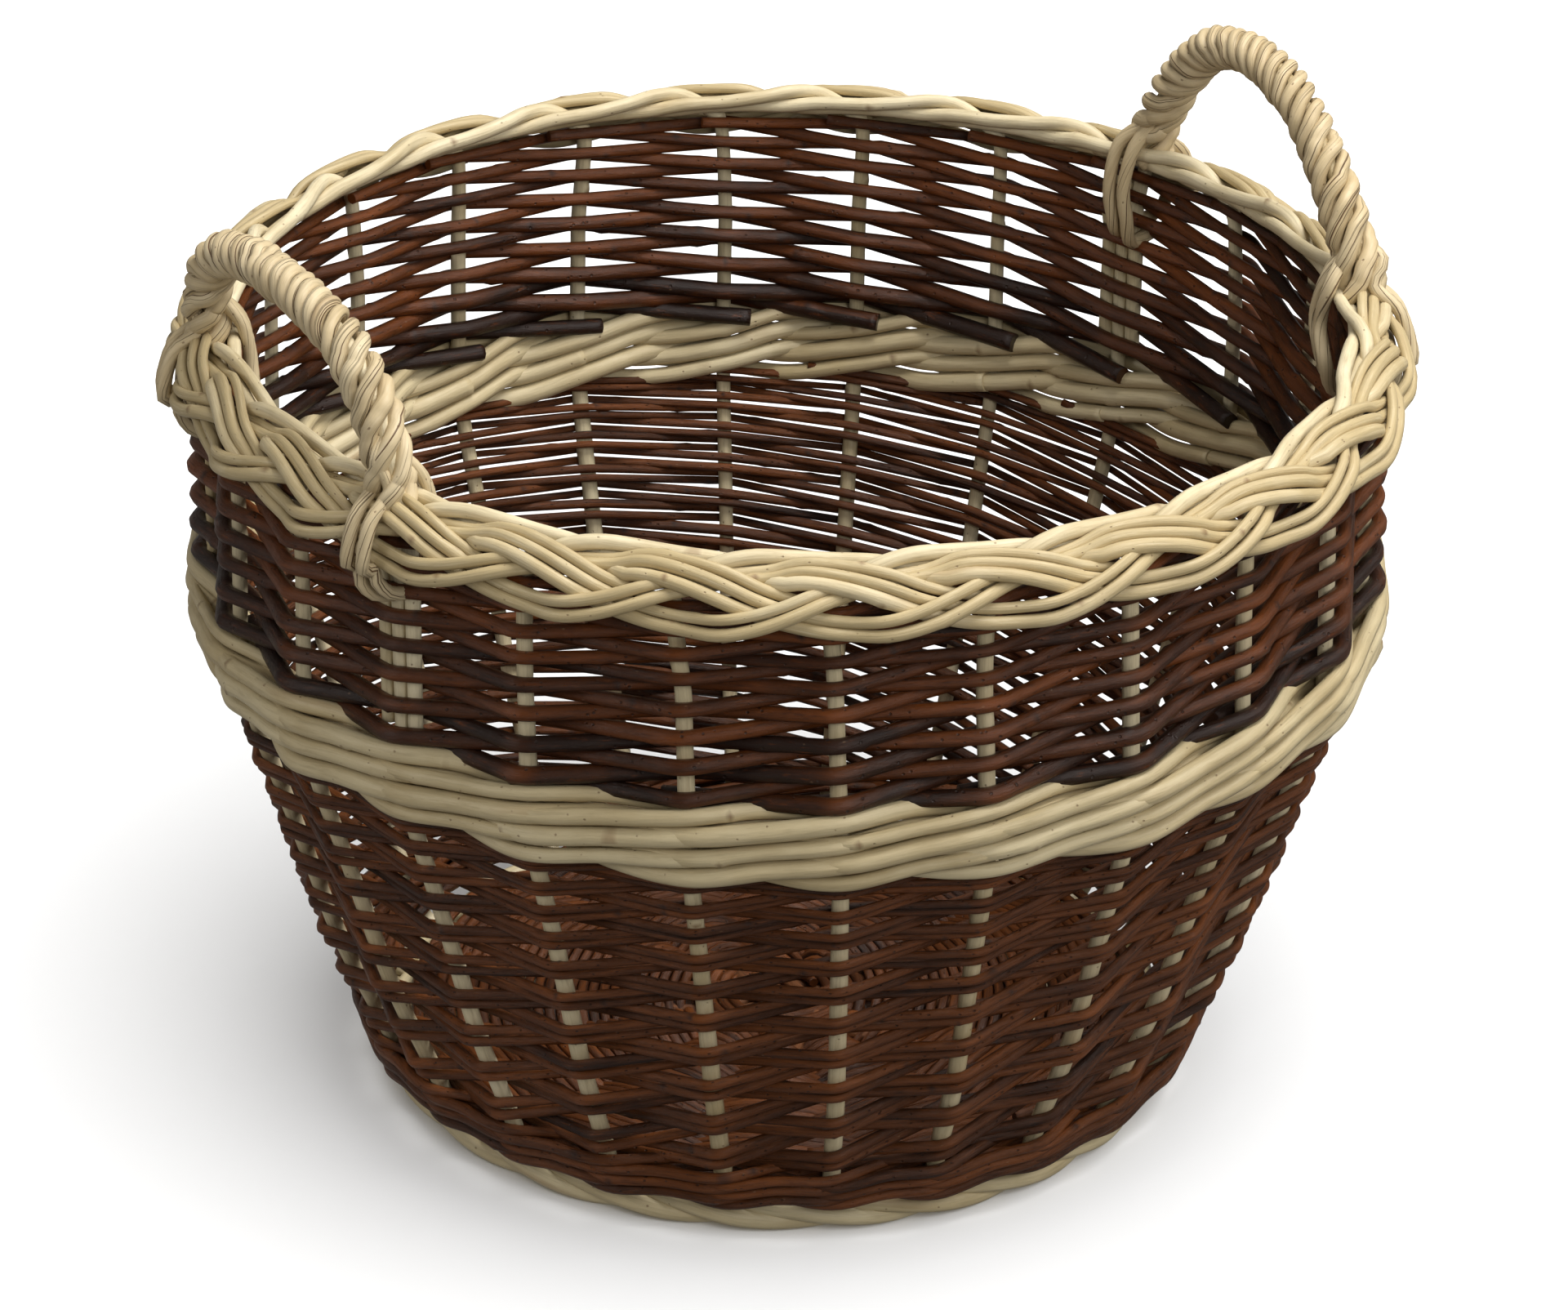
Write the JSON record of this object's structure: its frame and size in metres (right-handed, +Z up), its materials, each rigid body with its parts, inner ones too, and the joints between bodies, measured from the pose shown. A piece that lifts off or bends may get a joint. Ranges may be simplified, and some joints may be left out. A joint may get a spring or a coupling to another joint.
{
  "type": "woven laundry basket",
  "caption": "Round flared willow laundry basket with brown and white woven bands, a plaited white border and roped arch handles.",
  "frame": {"origin": "centre of the foot on the surface that the basket stands on", "axes": "+Z up along the basket's own axis, +X towards the right handle, +Y towards the back"},
  "size_m": [0.5314, 0.5314, 0.4396],
  "materials": {
    "base_willow": "satin",
    "stake_willow": "satin",
    "white_willow": "satin",
    "handle_willow": "satin",
    "brown_willow": "satin",
    "dark_willow": "semi-gloss"
  },
  "bodies": {
    "root": {"through_stick_1": "base_willow", "through_stick_2": "base_willow", "through_stick_3": "base_willow", "split_stick_1": "base_willow", "split_stick_2": "base_willow", "split_stick_3": "base_willow", "base_weave": "brown_willow", "stake_01": "stake_willow", "stake_02": "stake_willow", "stake_03": "stake_willow", "stake_04": "stake_willow", "stake_05": "stake_willow", "stake_06": "stake_willow", "stake_07": "stake_willow", "stake_08": "stake_willow", "stake_09": "stake_willow", "stake_10": "stake_willow", "stake_11": "stake_willow", "stake_12": "stake_willow", "stake_13": "stake_willow", "stake_14": "stake_willow", "stake_15": "stake_willow", "stake_16": "stake_willow", "stake_17": "stake_willow", "stake_18": "stake_willow", "stake_19": "stake_willow", "stake_20": "stake_willow", "stake_21": "stake_willow", "stake_22": "stake_willow", "stake_23": "stake_willow", "stake_24": "stake_willow", "foot_wale": "white_willow", "upsett_wale": "brown_willow", "lower_siding": "brown_willow", "middle_wale": "white_willow", "upper_siding": "dark_willow", "plaited_border": "white_willow", "left_handle_bow": "stake_willow", "left_handle_rope": "handle_willow", "left_handle_lashing_front": "handle_willow", "left_handle_lashing_back": "handle_willow", "right_handle_bow": "stake_willow", "right_handle_rope": "handle_willow", "right_handle_lashing_front": "handle_willow", "right_handle_lashing_back": "handle_willow"}
  },
  "joints": []
}
